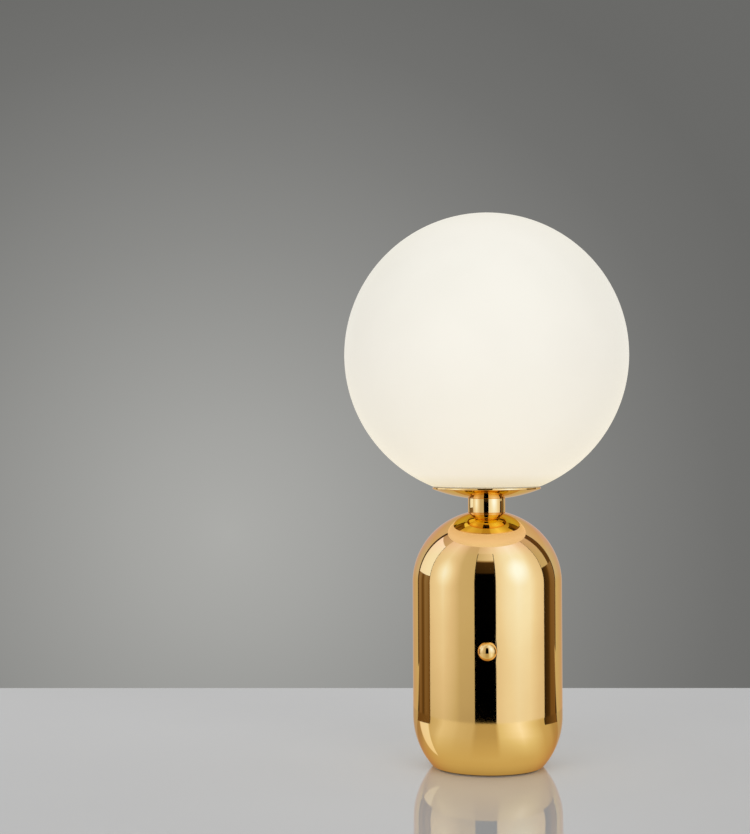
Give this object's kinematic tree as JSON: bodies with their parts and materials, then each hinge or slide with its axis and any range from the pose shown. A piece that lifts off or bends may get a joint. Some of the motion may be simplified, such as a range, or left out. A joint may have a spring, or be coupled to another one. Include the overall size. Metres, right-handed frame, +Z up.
{
  "type": "globe table lamp",
  "caption": "Table lamp with a satin opal glass globe on a shallow dish, a short neck and a polished gold capsule base with a round push button on the front.",
  "frame": {"origin": "on the table, under the middle of the foot", "axes": "+Z up along the lamp's axis, -Y towards the front with the push button, +X to the right of someone facing the button"},
  "size_m": [0.25, 0.25, 0.4862],
  "materials": {
    "polished_gold": "mirror polished and lacquered",
    "opal_glass": "satin opal",
    "zinc_steel": "zinc plated",
    "spring_steel": "bright drawn",
    "ballast_iron": "as cast, oiled",
    "felt": "pressed wool felt",
    "gasket_rubber": "soft silicone",
    "holder_plastic": "moulded, fine satin",
    "holder_ceramic": "unglazed",
    "contact_brass": "pressed, bare",
    "cap_nickel": "nickel plated",
    "cap_insulator": "glossy black",
    "bulb_plastic": "smooth white",
    "bulb_opal": "diffusing white",
    "board_white": "white solder mask",
    "emitter_yellow": "clear silicone over phosphor",
    "switch_plastic": "moulded black",
    "gland_steel": "zinc plated",
    "block_nylon": "natural white",
    "wire_brown": "extruded insulation",
    "wire_blue": "extruded insulation",
    "wire_green": "extruded insulation"
  },
  "bodies": {
    "stand": {"base_shell": "polished_gold", "neck_collar": "polished_gold", "globe_cup": "polished_gold", "cord_gland": "polished_gold", "base_plate": "zinc_steel", "seat_plate": "zinc_steel", "tie_rod": "zinc_steel", "rod_nuts": "zinc_steel", "rod_washers": "zinc_steel", "ballast_screws": "zinc_steel", "switch_bracket": "zinc_steel", "block_screws": "zinc_steel", "switch_nut": "zinc_steel", "globe_clips": "spring_steel", "clip_rivets": "spring_steel", "button_spring": "spring_steel", "ballast_weight": "ballast_iron", "felt_pad": "felt", "globe_gasket": "gasket_rubber", "holder_cap": "holder_plastic", "holder_skirt": "holder_plastic", "holder_core": "holder_ceramic", "screw_shell": "contact_brass", "centre_contact": "contact_brass", "holder_terminals": "contact_brass", "switch_terminals": "contact_brass", "terminal_screws": "contact_brass", "earth_tag": "contact_brass", "switch_bush": "contact_brass", "switch_body": "switch_plastic", "gland_nut": "gland_steel", "terminal_block": "block_nylon", "line_wire": "wire_brown", "switched_wire": "wire_brown", "neutral_wire": "wire_blue", "earth_wire": "wire_green"},
    "globe": {"opal_globe": "opal_glass"},
    "bulb": {"bulb_tip": "cap_nickel", "bulb_insulator": "cap_insulator", "bulb_cap": "cap_nickel", "bulb_housing": "bulb_plastic", "led_board": "board_white", "led_chips": "emitter_yellow", "bulb_dome": "bulb_opal"},
    "button": {"push_button": "polished_gold", "button_plunger": "switch_plastic"}
  },
  "joints": [
    {"name": "button_press", "type": "slide", "parent": "stand", "child": "button", "axis": [0, 1, 0], "range_m": [0, 0.003], "stiffness_N_per_m": 400, "springref_m": -0.004, "deforming": ["button_spring"]},
    {"name": "globe_lift", "type": "slide", "parent": "stand", "child": "globe", "axis": [0, 0, 1], "range_m": [0, 0.19]},
    {"name": "bulb_out", "type": "slide", "parent": "stand", "child": "bulb", "axis": [0, 0, 1], "range_m": [0, 0.028]}
  ]
}
